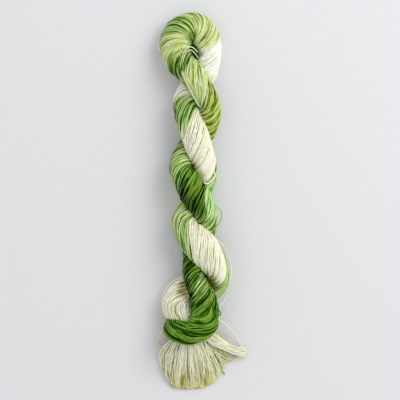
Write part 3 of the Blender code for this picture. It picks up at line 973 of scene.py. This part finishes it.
# %% Loops that cross the open right side of the fan
routes += [
    ([(2, -43.6, -1.2), (3.8, -45.8, -1.9), (5.6, -48.4, -3), (6.5, -50.2, -4.2)],
     "cream", "straw"),
    ([(2.9, -43.9, -1.3), (4.7, -45.2, -1.9), (6.8, -46.1, -2.8), (8.2, -47.6, -4),
      (7.6, -48.8, -4.4), (6, -49.4, -3.9), (3.8, -50.2, -3.2), (1.8, -49.8, -2.6)],
     "spring", "straw"),
    ([(4.5, -43.9, -1.8), (3.9, -45.6, -1.6), (3.7, -47.2, -1.9), (4.5, -49.4, -2.9)],
     "spring", "straw"),
    ([(1.6, -44.6, -0.9), (3.3, -47.6, -1.9), (4.4, -50.6, -3.2), (4.6, -53, -4.6)],
     "white", "straw"),
]
pulled = loose("pulled_lock", routes, FAN_THREAD)

# %% Single threads that stand off
STANDING_OFF = [
    # light threads over the fold of the head, down the left of the first crossing
    ([(-1, 42.4, 0.2), (-1.9, 43.6, 1.6), (-3.1, 44.6, 2.6), (-4.4, 44.2, 3.1), (-5.4, 41.8, 3.5),
      (-5.6, 38.6, 4.2), (-4.6, 35.2, 5.2), (-2.4, 30.8, 5.6), (-0.6, 27.6, 5.2)],
     "pale_green", "pale_green"),
    ([(-1.2, 44.2, 0.4), (-2.8, 45.6, 1.2), (-4.4, 45.2, 2.2), (-5.8, 42.6, 2.9), (-6, 39.2, 3.6),
      (-5.2, 36.2, 4.7), (-3.2, 32, 5.5), (-1, 28, 5)], "cream", "pale_green"),
    ([(-5.4, 46.6, 1.8), (-6.4, 44.6, 2.4), (-6.6, 41.6, 3), (-6, 38, 3.9), (-4.6, 34.2, 5)],
     "spring", "light_green"),
    # bows at the left edge of the head
    ([(-10.4, 49.6, -1), (-12.4, 48.4, -1.6), (-13.1, 46.6, -1.9), (-12.5, 44.8, -1.6),
      (-10.6, 42.6, -1)], "pale_green", "cream"),
    ([(-11.2, 46.8, -1.6), (-12.7, 45.4, -2.2), (-12.2, 43.2, -2.3), (-10.4, 40.9, -1.6)],
     "cream", "spring"),
    # bows down the right edge of the rope
    ([(0.6, 5.2, 4.6), (1.6, 4.6, 4.6), (3.1, 5.8, 3.8), (4, 7.3, 2.4), (3.2, 9.4, 2),
      (2.2, 11, 3)], "white", "cream"),
    ([(3.6, -1.2, 1.2), (4.8, -2.4, 1), (6, -3.6, 0.4), (5.9, -5.9, 0.1), (4.8, -7.8, 0.6),
      (3.2, -9.2, 1.6)], "mint", "leaf"),
    ([(3.4, -11.4, 1.2), (5.6, -12.9, 1.6), (7.4, -15.4, 1), (8.6, -18.6, 0.2), (9, -21.6, -0.4),
      (8.3, -24.6, -0.6), (6.2, -27.6, -0.4), (2.8, -29.4, 1.2)], "cream", "white"),
    ([(7.3, -22.6, 0.4), (7.6, -25.8, -0.6), (7.2, -29.4, -1.4), (6, -31.4, -1),
      (4.2, -32.6, 0.4), (1.8, -33, 1.8)], "white", "cream"),
    ([(4, -32, 1.4), (5.2, -33.2, 1), (5.9, -34.4, 0.8), (4.9, -34.8, 1.2), (3.8, -34.6, 1.6)],
     "moss", "grass"),
    ([(2.2, -35.2, 1.6), (4.2, -35.6, 0.4), (5.6, -36.3, -0.4), (7.6, -37.9, -1.9),
      (9.6, -40.2, -3.5), (11, -42.2, -4.6), (11.9, -44.6, -5.5)], "cream", "cream"),
    # bows and ends round the looped end
    ([(-9.2, -37.4, -1.6), (-11.6, -39.4, -2.6), (-12.9, -41.6, -3.6), (-12.9, -43.4, -4.2),
      (-11.6, -44.6, -4.4), (-9.4, -43.2, -2.6)], "cream", "straw"),
    ([(-7.4, -42.2, -2), (-9.6, -43.8, -3.4), (-11.4, -45.8, -4.6), (-12.4, -47.8, -5.4)],
     "cream", "cream"),
    ([(-6.8, -42.4, -2.2), (-9.2, -44.4, -3.6), (-11, -47.2, -4.9), (-11.4, -50.2, -5.6)],
     "cream", "straw"),
    ([(5, -50.6, -4.8), (6.2, -51.6, -5.4), (7, -53, -5.7)], "straw", "olive"),
    # a bow round the loop at the lower left
    ([(-5.8, -23.2, -1.4), (-8.9, -24.9, -2), (-11.2, -27.9, -2.6), (-12, -30.6, -2.8),
      (-11.2, -33.6, -2), (-8.8, -36.4, -1)], "white", "cream"),
]

# %% Green threads that have slipped out along the lowest cream turn
SLIPPED = np.array([
    (3.6, -12.2, 1.6), (5.4, -14.2, 1.7), (6.8, -17, 1.2), (7.5, -20, 0.8), (7.9, -22.8, 0.5),
    (7.6, -25.4, 0.4), (6.5, -27.6, 0.5), (4.8, -29.4, 1), (2.6, -30.8, 1.8)])
for out, start, end in ((0.25, "light_green", "leaf"), (-0.2, "pale_green", "light_green"),
                        (-0.6, "leaf", "light_green"), (-1, "light_green", "light_green")):
    apart = np.linspace(0.7, 1.5, len(SLIPPED))[:, None] * np.array([out, 0.2 * out, -0.5 * out])
    STANDING_OFF.append((SLIPPED + apart, start, end))
stray = loose("loose_threads", STANDING_OFF, LOOSE_THREAD)

# %% [markdown]
# ## Table, light and camera
# The hank lies on a plain pale table. A large soft light stands at the upper right, where the
# brighter flanks are, and an even white surround fills the shadows. Several lamps could do the
# same, but one keeps the shadows simple.

# %% Table
TABLE_HALF = 0.6  # metres from its middle to its edge
matt_paint = bpy.data.materials.new("pale_matt_table")
matt_paint.use_nodes = True
shader = matt_paint.node_tree.nodes["Principled BSDF"]
# A little bluer than the cream threads, which makes them look warm.
shader.inputs["Base Color"].default_value = (*to_linear("#dadadd"), 1)
shader.inputs["Roughness"].default_value = 0.9
table_mesh = bpy.data.meshes.new("table")
corners = TABLE_HALF * np.array([(-1, -1, 0), (1, -1, 0), (1, 1, 0), (-1, 1, 0)])
table_mesh.from_pydata(corners, [], [(0, 1, 2, 3)])
table_mesh.materials.append(matt_paint)
table = placed("table", table_mesh)

# %% Lights
WINDOW = np.array((0.36, 0.30, 0.44))
window = placed("window", bpy.data.lights.new("window", "AREA"))
window.data.energy, window.data.size = 2.2, 0.40
window.location = WINDOW
towards_hank = Vector(np.array((0, 0, 0.005)) - WINDOW)
window.rotation_euler = towards_hank.to_track_quat("-Z", "Y").to_euler()
world = bpy.data.worlds.new("studio")
world.use_nodes = True
surround = world.node_tree.nodes["Background"].inputs
surround["Color"].default_value, surround["Strength"].default_value = (1, 1, 1, 1), 0.78
bpy.context.scene.world = world

# %% [markdown]
# The camera looks straight down. A long lens from far off keeps the edges of a thick thing from
# leaning outwards.

# %% Camera
VIEW_WIDTH = 0.120  # what the camera takes in at the hank's middle height
MIDDLE = (-0.0009, 0.0002, 0.006)
LENS, SENSOR = 180, 36
camera = placed("camera", bpy.data.cameras.new("camera"))
camera.data.lens, camera.data.sensor_width = LENS, SENSOR
camera.location = (*MIDDLE[:2], MIDDLE[2] + VIEW_WIDTH * LENS / SENSOR)
bpy.context.scene.camera = camera
bpy.context.scene.view_settings.view_transform = "Standard"

# %% [markdown]
# ## Fit to the model
# The wound threads and what fills them stand for the solid hank. The fan, its heap, the pulled lock
# and the loose threads stand for the solid looped end. Nothing moves, so all of them ride the root.

# %% Fit to the model
for piece in body_pieces + [core, heart, fold]:
    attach(piece, "root")
    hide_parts("hank")
for piece in (fan, heap, pulled, stray):
    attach(piece, "root")
    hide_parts("looped_end")
